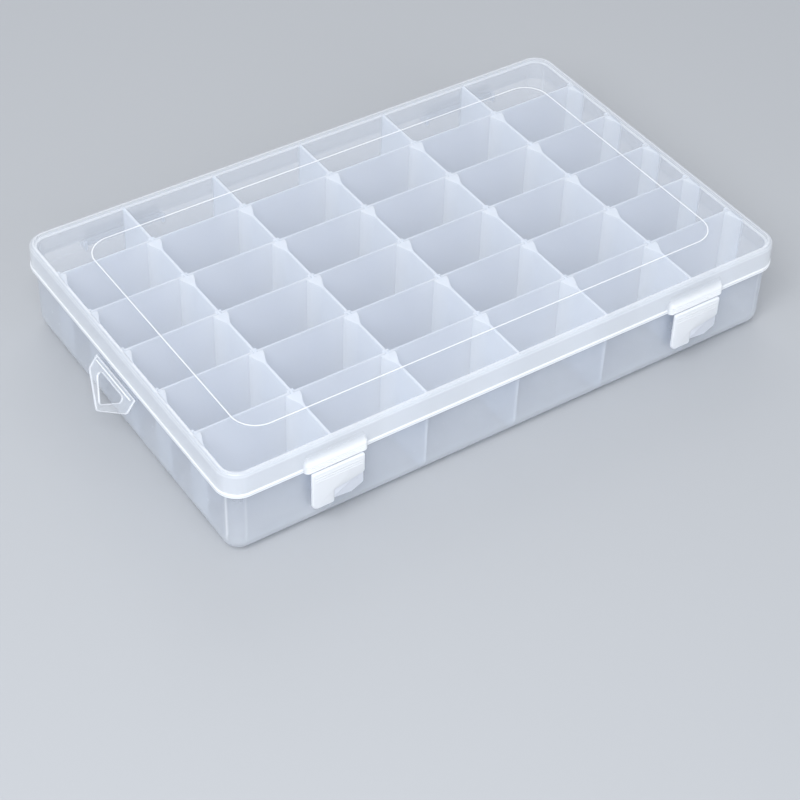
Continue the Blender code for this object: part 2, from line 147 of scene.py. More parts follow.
class LatchSizes(bpy.types.PropertyGroup):
    """Sizes of a latch and its catch"""
    axis_y: size("Axis depth", "From the middle to the latch's hinge line", 89.7)
    axis_z: size("Axis height", "From the underside to the latch's hinge line", 31.6)
    width: size("Width", "Width of the latch", 24.2)
    wall: size("Wall", "Thickness of the latch", 1.8)
    finger_width: size("Finger width", "Width of the finger piece", 10.2)
    finger_drop: size("Finger drop", "From the hinge line to the finger piece's lower edge", 18.4)
    body_drop: size("Body drop", "From the hinge line to the thick part's lower edge", 11.6)
    body_rise: size("Body rise", "How much higher the thick part ends at the other side", 2.6)
    lip_drop: size("Lip drop", "From the hinge line to the thin lip's lowest point", 17.3)
    lip_wall: size("Lip wall", "Thickness of the thin lip", 1.0)
    lip_recess: size("Lip recess", "How far the thin lip lies behind the latch's face", 0.6)
    catch_width: size("Catch width", "Width of the catch and the hook", 20.0)
    catch_reach: size("Catch reach", "How far the catch stands off the tray", 1.8)
    catch_drop: size("Catch drop", "From the hinge line to the catch's tip", 9.2)
    catch_tip: size("Catch tip", "Height of the catch's tip", 0.6)
    hook_grip: size("Hook grip", "How far the hook reaches under the catch", 0.6)


class TabSizes(bpy.types.PropertyGroup):
    """Sizes of the hang tab and its shelf"""
    axis_x: size("Axis place", "From the middle to the tab's hinge line", 136.9)
    axis_z: size("Axis height", "From the underside to the tab's hinge line", 28.6)
    centre_y: size("Centre", "Where the tab's middle lies along the short side", 4.0)
    width: size("Width", "Width of the tab", 33.3)
    side: size("Side", "Length of the tab's straight sides", 7.0)
    reach: size("Reach", "From the hinge line to the tab's tip", 17.2)
    wall: size("Wall", "Thickness of the tab", 1.2)
    rounding: size("Rounding", "Radius of the tab's corners", 2.0)
    hole_width: size("Hole width", "Width of the hole at its base", 25.0)
    hole_start: size("Hole start", "From the hinge line to the hole", 3.7)
    hole_reach: size("Hole reach", "From the hole's base to its tip", 10.0)
    hole_rounding: size("Hole rounding", "Radius of the hole's corners", 1.6)
    shelf: size("Shelf", "Thickness of the shelf that carries the tab", 1.2)
    droop: FloatProperty(
        name="Droop", description="Angle of the tab below level", default=radians(54), min=0, max=QUARTER,
        subtype="ANGLE",
    )


class PlasticLooks(bpy.types.PropertyGroup):
    """Colours and haze of the plastics and the studio"""
    lid_tint: tint("Lid tint", "Colour of the lid's haze", (0.84, 0.89, 0.97))
    tray_tint: tint("Tray tint", "Colour of the tray's haze", (0.62, 0.67, 0.76))
    wall_tint: tint("Wall tint", "Colour of the moulded walls", (0.88, 0.93, 1.0))
    divider_tint: tint("Divider tint", "Colour of the dividers", (0.73, 0.78, 0.87))
    latch_tint: tint("Latch tint", "Colour of the latches where they are thin", (0.80, 0.84, 0.92))
    lid_haze: share("Lid haze", "Share of light that one face of the lid stops", 0.12)
    tray_haze: share("Tray haze", "Share of light that one face of the tray stops", 0.2)
    tab_haze: share("Tab haze", "Share of light that one face of the tab stops", 0.1)
    floor_tint: tint("Floor tint", "Colour of the studio's floor", (0.44, 0.46, 0.49))
    backdrop_tint: tint("Backdrop tint", "Colour behind the studio's floor", (0.50, 0.52, 0.55))


class BoxSettings(bpy.types.PropertyGroup):
    """All that can be set on the organizer box"""
    tray: PointerProperty(type=TraySizes)
    lid: PointerProperty(type=LidSizes)
    hinge: PointerProperty(type=HingeSizes)
    latch: PointerProperty(type=LatchSizes)
    tab: PointerProperty(type=TabSizes)
    looks: PointerProperty(type=PlasticLooks)


def settings():
    """The sizes and looks set in the scene."""
    return bpy.context.scene.organizer_box


# Shapes

def sweep(rings, density=0.0, cap_ends=True):
    """A closed surface on a grid of points: ring i holds the profile carried to place i, and each pair of
    neighbouring rings is joined by a band of four-sided faces. The two end rings are filled, or the last
    ring joins the first. Density says how much whiter the plastic is painted at each point: partly for thicker
    plastic, partly as painted highlight and painted light."""
    rings = np.asarray(rings, float)
    count, around = rings.shape[:2]
    last = count - 1 if cap_ends else count
    i = np.arange(last)[:, None]
    j = np.arange(around)
    here, above = i * around, (i + 1) % count * around
    after = (j + 1) % around
    quads = np.stack([here + j, here + after, above + after, above + j], -1).reshape(-1, 4)
    faces = quads.tolist()
    if cap_ends:
        faces += [list(range(around))[::-1], list(range(last * around, count * around))]
    points = rings.reshape(-1, 3)
    corners = points[quads]
    across = np.cross(corners[:, 2] - corners[:, 0], corners[:, 3] - corners[:, 1])
    centre = points.mean(0)
    volume = (across * (corners.mean(1) - centre)).sum()
    if cap_ends:
        for cap in (rings[0][::-1], rings[-1]):
            area = np.cross(cap - cap[0], np.roll(cap, -1, 0) - cap[0]).sum(0)
            volume += area @ (cap[0] - centre)
    if volume < 0:
        faces = [face[::-1] for face in faces]
    density = np.asarray(density, float)
    if density.ndim == 1:
        density = density[:, None]
    return points, faces, np.broadcast_to(density, (count, around)).ravel()


def arc(centre, radius, start, stop, steps=ARC_STEPS):
    """Points at equal angles from start to stop on a circle: centre plus radius times cosine and sine."""
    turn = np.linspace(start, stop, steps + 1)
    return centre + radius * np.stack([np.cos(turn), np.sin(turn)], -1)


def unit(vectors):
    """Vectors over their lengths."""
    return vectors / np.linalg.norm(vectors, axis=-1, keepdims=True)


def smooth_step(share_along):
    """Share squared times three less twice the share."""
    return share_along**2 * (3 - 2 * share_along)


def round_corners(corners, radii, steps=ARC_STEPS):
    """Replaces each corner of a polygon by an arc that touches both its sides. The arc's centre lies on the
    corner's bisector, at the radius over the sine of half the corner's angle."""
    corners = np.asarray(corners, float)
    radii = np.maximum(np.broadcast_to(radii, len(corners)), LEAST)[:, None]
    before = unit(np.roll(corners, 1, 0) - corners)
    after = unit(np.roll(corners, -1, 0) - corners)
    bisector = unit(before + after)
    half = np.arccos(np.clip((before * bisector).sum(-1, keepdims=True), -1, 1))
    centres = corners + bisector * radii / np.sin(half)
    side = np.sign(before[:, :1] * -after[:, 1:] + before[:, 1:] * after[:, :1])
    turn = np.linspace(-1, 1, steps + 1) * (QUARTER - half) * side
    x, y = -bisector.T[..., None]
    turned = np.stack([x * np.cos(turn) - y * np.sin(turn), x * np.sin(turn) + y * np.cos(turn)], -1)
    return (centres[:, None, :] + radii[:, None] * turned).reshape(-1, 2)


def outward(outline):
    """For each point of a closed outline, the move that shifts both its sides outward by one unit: the sum of
    the two sides' normals over one plus their product, which is held up at the sharpest corners."""
    least_divisor = 0.3
    following = np.roll(outline, -1, 0) - outline
    normal = unit(np.stack([following[:, 1], -following[:, 0]], -1))
    previous = np.roll(normal, 1, 0)
    move = (normal + previous) / (1 + (normal * previous).sum(-1, keepdims=True)).clip(least_divisor)
    turned = np.roll(outline, -1, 0)
    area = (outline[:, 0] * turned[:, 1] - turned[:, 0] * outline[:, 1]).sum()
    return move * np.sign(area)


def edge_profile(edge, steps=4):
    """A quarter circle of the given radius as inset and climb: inset 1 - sine, climb 1 - cosine."""
    turn = np.linspace(0, QUARTER, steps + 1)
    return edge * (1 - np.sin(turn)), edge * (1 - np.cos(turn))


def carry(outline, axis, low, high, edge, density=0.0):
    """An outline carried in a straight line along an axis from low to high, with its two end edges rounded:
    near each end the outline shrinks along a quarter circle."""
    outline = np.asarray(outline, float)
    inset, climb = edge_profile(edge)
    insets = np.concatenate([inset, inset[::-1]])[:, None, None]
    places = np.concatenate([low + climb, (high - climb)[::-1]])
    flat = outline - outward(outline) * insets
    along = np.broadcast_to(places[:, None], flat.shape[:2])
    values = [flat[..., 0], flat[..., 1]]
    values.insert("XYZ".index(axis), along)
    return sweep(np.stack(values, -1), density)


def level_rings(half_x, half_y, corner, insets, heights, steps, stations=()):
    """Level rounded rectangles, one for each inset and height. A point is its corner's centre plus the
    radius times cosine and sine, and the radius shrinks with the inset. Stations are places from left to
    right with a point on both long sides, drawn together to stay on the straight part."""
    insets, radius = insets[:, None], np.maximum(corner, LEAST)[:, None]
    turn = (np.arange(4)[:, None] * QUARTER + np.linspace(0, QUARTER, steps + 1)).ravel()
    side_x, side_y = np.repeat([[1, -1, -1, 1], [1, 1, -1, -1]], steps + 1, 1)
    x = side_x * (half_x - insets - radius) + radius * np.cos(turn)
    y = side_y * (half_y - insets - radius) + radius * np.sin(turn)
    if len(stations):
        used_share = 0.98
        straight = (half_x - insets - radius) / np.abs(stations).max()
        placed = stations * np.minimum(1, used_share * straight)
        level = np.broadcast_to(half_y - insets, placed.shape)
        right, left, last = slice(steps + 1), slice(steps + 1, 3 * steps + 3), slice(3 * steps + 3, None)
        x = np.concatenate([x[:, right], placed[:, ::-1], x[:, left], placed, x[:, last]], 1)
        y = np.concatenate([y[:, right], level, y[:, left], -level, y[:, last]], 1)
    return np.stack([x, y, np.broadcast_to(heights[:, None], x.shape)], -1)


def along_x(middle, outline, width, edge):
    """An outline in Y and Z carried along X about a middle."""
    return carry(outline, "X", middle - width / 2, middle + width / 2, edge)


def shifted(solid, offset):
    """A closed surface moved by an offset."""
    points, faces, density = solid
    return points + offset, faces, density


def add_item(name, data):
    """An object in the scene."""
    item = bpy.data.objects.new(name, data)
    bpy.context.scene.collection.objects.link(item)
    return item


def add_mesh(name, points, faces, material):
    """A mesh object in the scene."""
    mesh = bpy.data.meshes.new(name)
    mesh.from_pydata(points.tolist(), [], faces)
    mesh.materials.append(material)
    return add_item(name, mesh)


def make_piece(name, solids, body, material, replaced=()):
    """One object from closed surfaces, in world coordinates, riding on a body of the frame."""
    points, face_lists, density = zip(*solids)
    faces, start = [], 0
    for solid_points, solid_faces in zip(points, face_lists):
        faces += [[start + number for number in face] for face in solid_faces]
        start += len(solid_points)
    piece = add_mesh(name, np.concatenate(points), faces, material)
    piece.data.shade_smooth()
    piece.data.set_sharp_from_angle(angle=SMOOTH_ANGLE)
    # Density per point: whiter where the plastic is thicker, and painted highlights and painted light
    layer = piece.data.attributes.new("density_and_painted_highlight", "FLOAT", "POINT")
    layer.data.foreach_set("value", np.concatenate(density).astype(np.float32))
    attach(piece, body)
    if replaced:
        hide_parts(*replaced)


def wall_places(tray):
    """The middles of the moulded walls, from left to right."""
    pitch = tray.cell_length + tray.fixed_wall
    return (np.arange(1, tray.columns) - tray.columns / 2) * pitch


def fitting_places(tray):
    """The middles of the first and the last moulded wall, which carry the hinges and latches."""
    walls = wall_places(tray)
    return {"left": walls[0], "right": walls[-1]}


def row_places(tray):
    """The middle planes of the divider rows, from front to back."""
    first = tray.front_row + tray.divider / 2 - (tray.half_depth - tray.wall)
    return first + np.arange(tray.rows - 1) * tray.row_pitch


def foot_profile(tray, inset, floor):
    """Inset and height of the foot's rounding, a quarter circle about a point above its lower end."""
    side, climb = edge_profile(max(tray.foot - inset, LEAST), steps=10)
    return inset + side, floor + climb


def guide_profile(tray):
    """Place along the wall and reach off it, from front to back: before each row's slot a fin that swells
    along a smooth step, and behind it a small square rib."""
    share_along = np.linspace(0, 1, FIN_POINTS)
    back = tray.divider / 2 + tray.slot_gap
    place = np.concatenate([
        -back - tray.fin_length * (1 - share_along), [LEAST / 2 - back, back, back + LEAST / 2],
        [back + tray.rib_length, back + tray.rib_length + LEAST],
    ])
    reach = np.append(tray.fin_reach * smooth_step(share_along), [0, 0, tray.rib_reach, tray.rib_reach, 0])
    places = (row_places(tray)[:, None] + place).ravel()
    return places, np.tile(reach, tray.rows - 1)


def wall_levels(tray):
    """Heights of an inner wall's rings, with the inset of its rounded top and the room to the foot's
    rounding, measured from the tray's outer face at half the outer wall's thickness."""
    side, climb = foot_profile(tray, tray.wall / 2, tray.floor / 2)
    inset, rise = edge_profile(tray.edge)
    heights = np.concatenate([climb[1:], (tray.height - rise)[::-1]])
    insets = np.pad(inset[::-1], (len(climb) - 1, 0))
    room = np.pad(side[1:], (0, len(rise)), constant_values=tray.wall / 2)
    room = np.where(heights > tray.foot, LEAST, room)
    return heights, insets, room


def moulded_wall(tray, middle):
    """A moulded wall: its plan outline runs back along one face and forward along the other, is carried up,
    and is held inside the shell at every height."""
    place, reach = guide_profile(tray)
    half = tray.fixed_wall / 2
    end = tray.half_depth
    near = end - tray.wall
    right = np.stack([
        np.concatenate([[half, half], half + reach, [half, half]]),
        np.concatenate([[-end, -near], place, [near, end]]),
    ], -1)
    outline = np.concatenate([right, right[::-1] * (-1, 1)])
    heights, insets, room = wall_levels(tray)
    flat = outline - outward(outline) * insets[:, None, None]
    limit = (tray.half_depth - room)[:, None]
    y = np.clip(flat[..., 1], -limit, limit)
    z = np.broadcast_to(heights[:, None], y.shape)
    # Fins painted whiter as they swell off the wall, partly for thicker plastic, partly as painted light
    swell = (np.abs(outline[:, 0]) - half) / tray.fin_reach
    ends = np.abs(outline[:, 1]) > end - LEAST
    density = swell + ends * (heights > tray.foot)[:, None]
    return sweep(np.stack([flat[..., 0] + middle, y, z], -1), density)


def side_guides(tray, side):
    """The guides on one short side of the tray, one closed surface for each fin and each rib, with their
    backs buried in the shell at every height."""
    face = tray.half_length - tray.wall
    rows = np.stack(guide_profile(tray)).reshape(2, tray.rows - 1, -1)
    heights, insets, room = wall_levels(tray)
    solids = []
    for along, off in rows.swapaxes(0, 1):
        for part in (slice(FIN_POINTS + 1), slice(FIN_POINTS + 2, None)):
            place, reach = along[part], off[part]
            line = np.stack([face - reach, place], -1)
            outline = np.concatenate([line, [(tray.half_length, place[-1]), (tray.half_length, place[0])]])
            flat = outline - outward(outline) * insets[:, None, None]
            x = np.minimum(flat[..., 0], (tray.half_length - room)[:, None])
            z = np.broadcast_to(heights[:, None], x.shape)
            # Fins painted whiter as they reach out, partly for thicker plastic, partly as painted light
            density = np.tile(np.append(reach, [0, 0]) / tray.fin_reach, (len(heights), 1))
            solids.append(sweep(np.stack([side * x, flat[..., 1], z], -1), density))
    return solids


def tray_shell(tray):
    """The tray's floor and outer walls: level rounded rectangles up the outside, over the rounded rim and
    down the inside. Each upright corner has two painted highlights, a bright line near the short side and a
    faint one near the long side, where the bend would catch the light. The rim carries a painted highlight
    and the foot is painted whiter towards the bottom."""
    # Painted highlights: rim_glow on the rim, glint as the corner lines; foot_glow paints the foot whiter
    # towards the bottom
    steps, foot_glow, rim_glow, glint_at_foot = 12, 0.4, 0.5, 0.3
    glint = np.zeros(steps + 1)
    for step, glow in ((3, 0.36), (11, 0.1)):
        glint[step] = glow
    foot_side, foot_climb = foot_profile(tray, 0, 0)
    inner_side, inner_climb = foot_profile(tray, tray.wall, tray.floor)
    rim_inset, rim_climb = edge_profile(tray.edge)
    below = tray.height - 2 * tray.edge
    insets = np.concatenate([
        [foot_side[0] + tray.edge], foot_side, [0, 0], rim_inset[::-1],
        tray.wall - rim_inset, [tray.wall], inner_side[::-1], [inner_side[0] + tray.edge],
    ])
    heights = np.concatenate([
        [0], foot_climb, [1.5 * tray.foot, below], (tray.height - rim_climb)[::-1],
        tray.height - rim_climb, [below], inner_climb[::-1], [tray.floor],
    ])
    rings = level_rings(tray.half_length, tray.half_depth, tray.corner - insets, insets, heights, steps)
    rise = np.clip(heights / below, 0, 1)
    above_foot = np.arange(len(insets)) - len(foot_side)
    density = np.where(above_foot <= 1, foot_glow * (1 - rise) ** 2, 0) + rim_glow * (heights > below + LEAST)
    upright = np.select([above_foot == 0, np.isin(above_foot, (1, 2))], [glint_at_foot, 1])
    around = np.concatenate([glint, glint[::-1]] * 2)
    return sweep(rings, density[:, None] + upright[:, None] * around)


def lid_shell(lid, hinge, fittings):
    """The lid: level rounded rectangles from inside the raised bead, over it, along the top, round the edge,
    down the skirt, round the hem and up the inside. Each row holds insets, heights and densities; the
    densities paint highlight lines on the bead, round the top edge and along the hem, and a lighter tone on
    the skirt."""
    swell = np.linspace(0, 1, 9)
    bead_inset = lid.bead_inset + lid.bead_width * (1 - swell)
    hump = (1 - np.cos(2 * pi * swell)) / 2
    inset, climb = edge_profile(lid.rounding, 8)
    soft, soft_climb = edge_profile(lid.hem_step / 2, 3)
    hem_bottom = lid.top - lid.skirt_depth
    hem_top = hem_bottom + lid.hem_height
    inner = lid.hem_step + lid.skirt
    bend, bend_climb = edge_profile(lid.rounding - lid.skirt, 5)
    under = lid.top - lid.plate
    near, pad_margin = lid.hem_step, 1.8 * MM
    # Densities: painted highlight lines on the bead, the top edge and the hem; clear paints nothing, skirt a
    # lighter tone
    clear, bead, skirt, line, hem, hem_edge = 0, 0.85, 0.34, 0.58, 0.42, 0.85
    edge = np.array([0.3, 0.28, 0.15, 0.17, 0.3, 0.27, 0.37, 0.38, 0.34])
    rows = [
        ([bead_inset[0] + near], [lid.top], clear),
        (bead_inset, lid.top + lid.bead_rise * hump, bead * hump**2),
        ([bead_inset[-1] - near], [lid.top], clear),
        ([lid.hem_step + lid.rounding + near], [lid.top], clear),
        (lid.hem_step + inset, lid.top - climb, edge),
        ([lid.hem_step] * 3, [lid.top - lid.rounding - near, hem_top + near, hem_top], [skirt, skirt, line]),
        (soft, hem_top - lid.hem_step / 2 - soft_climb, line),
        ([0, 0], [hem_top - 2 * near, hem_bottom + 1.5 * near], [hem, (hem + hem_edge) / 2]),
        (soft[::-1], hem_bottom + soft_climb[::-1], hem_edge),
        (lid.hem - soft, hem_bottom + soft_climb, hem_edge),
        ([lid.hem] * 2, [hem_bottom + near, hem_top - near], hem),
        ([inner], [hem_top], skirt),
        ((inner + bend)[::-1], (under - bend_climb)[::-1], skirt / 2),
        ([inner + bend[0] + near], [under], clear),
    ]
    insets, heights, density = np.concatenate([np.array(np.broadcast_arrays(*row)) for row in rows], 1)
    corners = np.maximum(lid.corner - insets, 1 * MM)
    on_bead = np.arange(len(insets)) < len(bead_inset) + 2
    corners[on_bead] = lid.bead_corner - (insets[on_bead] - lid.bead_inset)
    reach = hinge.width / 2 + pad_margin
    stations = np.sort(np.add.outer(fittings, [-reach - near, -reach, reach, reach + near]).ravel())
    rings = level_rings(lid.half_length, lid.half_depth, corners, insets, heights, 16, stations)
    off = np.abs(np.subtract.outer(rings[..., 0], fittings)).min(-1)
    # Near the hinges the hem's painted highlight lines give way to the skirt's tone
    at_hinge = (rings[..., 1] > 0) & (off < reach + near / 2) & (rings[..., 2] < hem_top + near / 2)
    return sweep(rings, np.where(at_hinge, skirt, density[:, None]))


def boss_solid(lid, middle):
    """A latch boss as level outlines from its lower edge up: a rounded bar in plan whose reach off the skirt
    fades out upwards along a smooth step, above three fine grooves."""
    soft_edge, grooved, taper, corner, sunk = 0.35 * MM, 3.6 * MM, 1.2 * MM, 2.2 * MM, 0.2 * MM
    bottom = lid.top - lid.skirt_depth - lid.boss_drop
    skirt = lid.half_depth - lid.hem_step
    inset, climb = edge_profile(soft_edge)
    share_up = np.linspace(0, 1, 17)
    fade = 1 - smooth_step(share_up)
    slope = lid.boss_height * 0.75
    grooves = np.add.outer([1.1, 2.1, 3.1], [-0.25, -0.1, 0.1, 0.25]).ravel() * MM
    cut = np.tile([0, 0.18, 0.18, 0], 3) * MM
    heights = np.concatenate([climb, grooves, grooved + slope * share_up])
    before = len(heights) - len(fade), 0
    ridge = np.pad(cut, (len(climb), len(fade)))
    reach = lid.boss_reach * np.pad(fade, before, constant_values=1) - ridge
    pull = np.pad(inset, (0, len(heights) - len(inset)))
    flare = np.pad(taper * (1 - fade), before)
    face = np.maximum(skirt + reach - pull, skirt - sunk)
    radius = np.clip(reach * 0.9, sunk, corner)[:, None]
    half = (lid.boss_width / 2 - pull - flare)[:, None]
    turn = np.linspace(0, QUARTER, ARC_STEPS + 1)
    x = half - radius * (1 - np.cos(turn))
    y = face[:, None] - radius * (1 - np.sin(turn))
    buried = np.full((len(heights), 1), skirt - lid.skirt / 2)
    flat_x = np.concatenate([half, x, -x[:, ::-1], -half], 1)
    flat_y = -np.concatenate([buried, y, y[:, ::-1], buried], 1)
    z = np.broadcast_to((bottom + heights)[:, None], flat_x.shape)
    # Partly thicker plastic where the boss stands out, partly painted highlight: the front face whiter than
    # the sides
    front_highlight = 0.3 + 0.5 * np.sin(turn)
    front_highlight = np.concatenate([[front_highlight[0]], front_highlight, front_highlight[::-1], [front_highlight[0]]])
    density = np.clip(reach / lid.boss_reach, 0, 1)[:, None] * front_highlight
    return sweep(np.stack([flat_x + middle, flat_y, z], -1), density)


def clip_outline(lid, hinge):
    """The hinge clip seen from the side: an open ring round the pin with a web up to the skirt."""
    axis, mouth = (hinge.axis_y, hinge.axis_z), radians(35)
    start, stop = mouth - QUARTER, 3 * QUARTER - mouth
    bottom = lid.top - lid.skirt_depth
    skirt = lid.half_depth - lid.hem_step
    buried = skirt - lid.skirt / 2
    web = [
        (skirt + hinge.web, bottom), (skirt + hinge.web, bottom + hinge.web_top),
        (buried, bottom + hinge.web_top + hinge.web / 2), (buried, bottom + lid.boss_drop),
    ]
    return np.concatenate([
        arc(axis, hinge.clip, start, QUARTER / 2), web, arc(axis, hinge.clip, QUARTER * 3 / 2, stop),
        arc(axis, hinge.bore, stop, start, 2 * ARC_STEPS),
    ])


def lug_outline(tray, hinge):
    """A hinge lug seen from the side: a half disc on a block that ends in the tray's wall."""
    buried = tray.half_depth - tray.wall / 2
    disc = arc((hinge.axis_y, hinge.axis_z), hinge.lug, -QUARTER, QUARTER, 2 * ARC_STEPS)
    return np.concatenate([[(buried, hinge.axis_z - hinge.lug)], disc, [(buried, hinge.axis_z + hinge.lug)]])


def catch_outline(tray, latch):
    """The catch rib seen from the side: a wedge with a blunt tip on the tray's front wall."""
    face, buried, reach = -tray.half_depth, -tray.half_depth + tray.wall / 2, latch.catch_reach
    low = latch.axis_z - latch.catch_drop
    high = low + latch.catch_tip
    corners = [
        (buried, low - reach), (face, low - reach), (face - reach, low), (face - reach, high),
        (face, high + reach), (buried, high + reach),
    ]
    return round_corners(corners, radii=0.25 * MM, steps=3)


def shelf_outline(tray, tab):
    """The shelf beside the hang tab's hinge line, seen from the front."""
    root = -tray.half_length + tray.wall / 2
    tip = -tab.axis_x + tab.wall / 2 + tray.slot_gap
    half = tab.shelf / 2
    corners = [
        (root, tab.axis_z - tab.shelf), (tip, tab.axis_z - half), (tip, tab.axis_z + half),
        (root, tab.axis_z + half),
    ]
    return round_corners(corners, radii=0.15 * MM, steps=3)


def divider_solid(tray):
    """A divider about its own middle: upright sections along its length. The lower edge is level and climbs a
    quarter circle at both ends, low plus radius less the square root of radius squared less distance squared.
    Its colour is painted lighter towards its ends, as painted light passed on by the moulded walls beside
    it, more slowly on the side that the lamps face."""
    half = tray.cell_length / 2 - tray.slot_gap
    low = tray.floor + tray.slot_gap
    radius = tray.foot - tray.wall - tray.slot_gap
    turn = np.linspace(0, QUARTER, 10)
    bend = half - radius + radius * np.sin(turn)
    inset, climb = edge_profile(tray.edge)
    # Painted light: the plate lighter towards its ends, over 5 mm on the left and 15 mm on the right
    fade_left, fade_right, brightest, falloff = 5 * MM, 15 * MM, 0.9, 1.3
    extra = half - fade_right * np.array([1, 0.75, 0.5])
    right = np.unique(np.concatenate([[0], extra, bend[:-1], half - climb]))
    x = np.concatenate([-right[:0:-1], right])
    past = np.clip(np.abs(x) - (half - radius), 0, radius)
    foot = low + radius - np.sqrt(radius**2 - past**2)
    thick = tray.divider / 2 - np.interp(half - np.abs(x), climb, inset)
    pull = np.concatenate([[0, 0], inset[::-1], inset])
    side = np.concatenate([[1], -np.ones(1 + len(inset)), np.ones(len(inset))])
    y = side * np.maximum(thick[:, None] - pull, LEAST / 4)
    z = np.tile(np.concatenate([[0, 0], tray.height - climb[::-1], tray.height - climb]), (len(x), 1))
    z[:, :2] = foot[:, None]
    fade = np.where(x > 0, fade_right, fade_left)
    density = brightest * np.clip(1 - (half - np.abs(x)) / fade, 0, 1) ** falloff
    return sweep(np.stack([np.broadcast_to(x[:, None], y.shape), y, z], -1), density)


def latch_solids(latch):
    """One latch about its hinge line: a pillowed plate with a finger piece, three fine ridges under the hinge
    line, a thin lip behind the slanted edge and the hook at the back."""
    sunk, side_gap, lip_slant, hook_blunt = 0.15 * MM, 0.4 * MM, 2.7 * MM, 0.8 * MM
    ridge_inset, ridge_half, glow = 1.2 * MM, 0.3 * MM, 0.8
    half, face = latch.width / 2, latch.wall / 2
    split = latch.finger_width - half
    corners = [
        (half, face), (-half, face), (-half, -latch.finger_drop), (split, -latch.finger_drop),
        (split, -latch.body_drop), (half, latch.body_rise - latch.body_drop),
    ]
    plate = round_corners(corners, np.array([0.9, 0.9, 3.0, 1.0, 0.8, 1.6]) * MM)
    solids = [carry(plate, "Y", sunk - face, face, edge=0.75 * face, density=glow)]
    turn, top = split + (half - split) * 0.58, -face * 8
    corners = [
        (split - face, top), (split - face, -latch.lip_drop + 0.9 * MM), (turn, -latch.lip_drop),
        (half - side_gap, lip_slant - latch.lip_drop), (half - side_gap, top),
    ]
    lip = round_corners(corners, np.array([0.3, 0.3, 1.5, 1.5, 0.3]) * MM)
    back = latch.lip_recess - face
    solids.append(carry(lip, "Y", back, back + latch.lip_wall, edge=0.35 * MM))
    top = -latch.catch_drop - latch.hook_grip - 0.3 * MM / cos(QUARTER / 2)
    reach = latch.axis_y - settings().tray.half_depth - latch.catch_reach + latch.hook_grip
    hook = round_corners(
        [(0, top + reach), (reach, top), (reach, top - hook_blunt), (0, top - hook_blunt - reach)],
        np.array([0.1, 0.25, 0.25, 0.1]) * MM, steps=3)
    solids.append(along_x(0, hook, latch.catch_width, edge=0.3 * MM))
    end = half - ridge_inset
    for middle in (-1.3 * MM, -2.6 * MM, -3.9 * MM):
        low, high = middle - ridge_half, middle + ridge_half
        bar = round_corners([(-end, high), (end, high), (end, low), (-end, low)], radii=0.29 * MM, steps=4)
        solids.append(carry(bar, "Y", -face, 0, edge=0.14 * MM, density=1))
    return solids


def tab_ring(corners, radii):
    """A rounded polygon as points at equal steps along it, starting on its middle line."""
    outline = round_corners(corners, radii, steps=10)
    closed = np.concatenate([outline, outline[:1]])
    steps = np.concatenate([[0], np.cumsum(np.linalg.norm(np.diff(closed, axis=0), axis=1))])
    turn = np.arctan2(outline[:, 1], outline[:, 0] - outline[:, 0].mean())
    start = steps[np.argmin(np.abs(turn))]
    wanted = (start + np.arange(TAB_POINTS) / TAB_POINTS * steps[-1]) % steps[-1]
    return np.stack([np.interp(wanted, steps, closed[:, k]) for k in (0, 1)], -1)


def tab_solids(tab):
    """The hang tab with its raised line: a band between its outline and its hole's outline, carried round the
    thickness. Each ring follows one of the two outlines, drawn in or out along a half circle at the edge."""
    glow, line_half, root = 0.8, 0.3 * MM, 0.4 * MM
    half, thick, soft = tab.width / 2, tab.wall / 2, tab.rounding
    outer = tab_ring(
        [(0, -half), (0, half), (-tab.side, half), (-tab.reach, 0), (-tab.side, -half)],
        np.array([root, root, soft, soft, soft]))
    base, hole_half = -tab.hole_start, tab.hole_width / 2
    inner = tab_ring([(base, -hole_half), (base, hole_half), (base - tab.hole_reach, 0)], tab.hole_rounding)
    turn = np.linspace(-QUARTER, QUARTER, 9)
    pull = thick * 0.9 * (1 - np.cos(turn))
    rise = thick * np.sin(turn)
    outer_rings = outer - outward(outer) * pull[:, None, None]
    inner_rings = (inner + outward(inner) * pull[:, None, None])[::-1]
    flat = np.concatenate([outer_rings, inner_rings])
    height = np.broadcast_to(np.concatenate([rise, rise[::-1]])[:, None], flat.shape[:2])
    # Painted highlight round the tab's rounded edges, whitest at their middle; the raised line is painted
    # whiter too
    band = sweep(np.dstack([flat, height]), np.tile(glow * np.cos(turn), 2), cap_ends=False)
    low, high, end = base * 0.42 - line_half, base * 0.42 + line_half, half - soft
    line = round_corners([(low, -end), (high, -end), (high, end), (low, end)], line_half * 0.9, steps=4)
    ridge = carry(line, "Z", 0, thick + 0.15 * MM, edge=0.12 * MM, density=glow)
    solids = []
    for points, faces, density in (band, ridge):
        out, along, height = points.T
        x = out * cos(tab.droop) - height * sin(tab.droop) - tab.axis_x
        z = out * sin(tab.droop) + height * cos(tab.droop) + tab.axis_z
        solids.append((np.stack([x, along + tab.centre_y, z], -1), faces, density))
    return solids


# Materials

def feed(tree, node, values):
    """Sets a node's inputs, by name or number, or joins them to the outputs that give their values."""
    for key, value in values.items():
        if isinstance(value, bpy.types.NodeSocket):
            tree.links.new(value, node.inputs[key])
        else:
            node.inputs[key].default_value = value
    return node


def add_node(tree, kind, values=None, **options):
    """A node with its options and the values of its inputs."""
    node = tree.nodes.new(kind)
    for option, choice in options.items():
        setattr(node, option, choice)
    return feed(tree, node, values or {})


def maths(tree, operation, *values):
    """The outcome of a maths node on its values."""
    return add_node(tree, "ShaderNodeMath", dict(enumerate(values)), operation=operation).outputs[0]


def noise(tree, place, scale, detail, distortion=0.0):
    """A noise pattern on the given coordinates."""
    values = {"Vector": place, "Scale": scale, "Detail": detail, "Distortion": distortion}
    return add_node(tree, "ShaderNodeTexNoise", values).outputs["Fac"]


def colour_mix(tree, amount, first, second):
    """Two colours blended by an amount."""
    return add_node(tree, "ShaderNodeMix", {0: amount, 6: first, 7: second}, data_type="RGBA").outputs[2]


